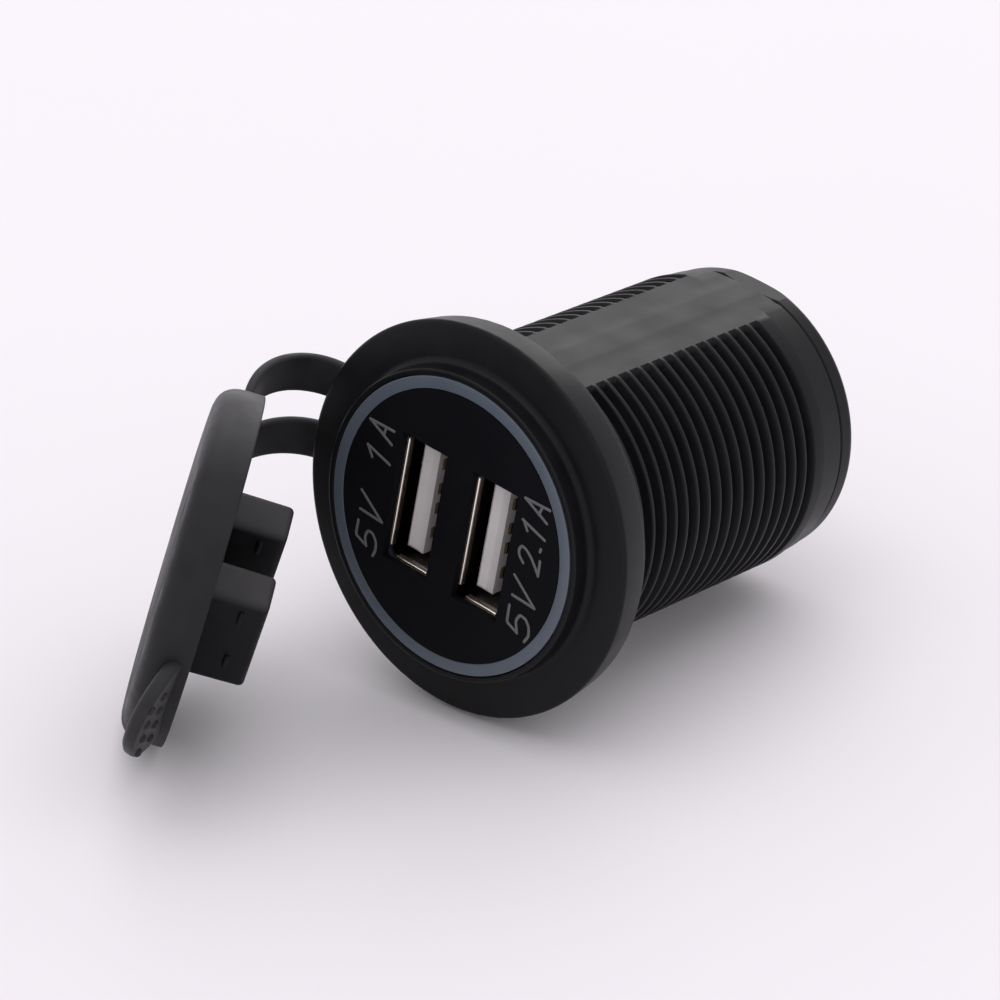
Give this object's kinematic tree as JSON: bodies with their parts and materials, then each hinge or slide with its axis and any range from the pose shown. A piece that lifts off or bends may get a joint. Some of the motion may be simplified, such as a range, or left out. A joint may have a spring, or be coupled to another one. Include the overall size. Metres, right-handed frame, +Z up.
{
  "type": "dual usb charging socket",
  "caption": "Round panel-mount charging socket: flanged threaded barrel, upright slots in a ringed face, rubber lid on a strap, rear blades.",
  "frame": {"origin": "on the barrel's axis, in the plane of the panel's front surface where the rubber ring behind the flange seats", "axes": "+Y along the barrel into the panel, so the face looks along -Y; +Z up along the long side of the two slots; X right as seen from the front"},
  "size_m": [0.0448, 0.0824, 0.0414],
  "materials": {
    "black_housing": "black moulded nylon, satin",
    "black_face": "black moulded plastic, fine matt texture",
    "light_ring": "smoke-blue translucent light pipe, unlit",
    "black_rubber": "soft black rubber with a dusty sheen",
    "nickel": "nickel-plated folded steel",
    "white_plastic": "white moulded insulator",
    "gold": "gold-plated contact strip",
    "green_board": "green printed circuit board",
    "lamp": "white lamp package",
    "ferrite": "dark grey ferrite",
    "copper_wire": "lacquered copper winding",
    "aluminium_can": "drawn aluminium can",
    "black_package": "black epoxy package",
    "tinned_brass": "tinned brass blade"
  },
  "bodies": {
    "root": {"housing": "black_housing", "rear_cap": "black_housing", "face_plate": "black_face", "light_ring": "light_ring", "sealing_cap": "black_rubber", "usb_shell_left": "nickel", "usb_shell_right": "nickel", "usb_insulator_left": "white_plastic", "usb_insulator_right": "white_plastic", "usb_contacts_left": "gold", "usb_contacts_right": "gold", "port_board": "green_board", "main_board": "green_board", "ring_lamp_top": "lamp", "ring_lamp_bottom": "lamp", "choke_core": "ferrite", "choke_winding": "copper_wire", "input_capacitor": "aluminium_can", "output_capacitor": "aluminium_can", "rectifier_diode": "black_package", "converter_chip": "black_package", "charge_chip": "black_package", "input_fuse": "black_package", "terminal_positive": "tinned_brass", "terminal_negative": "tinned_brass"}
  },
  "joints": []
}
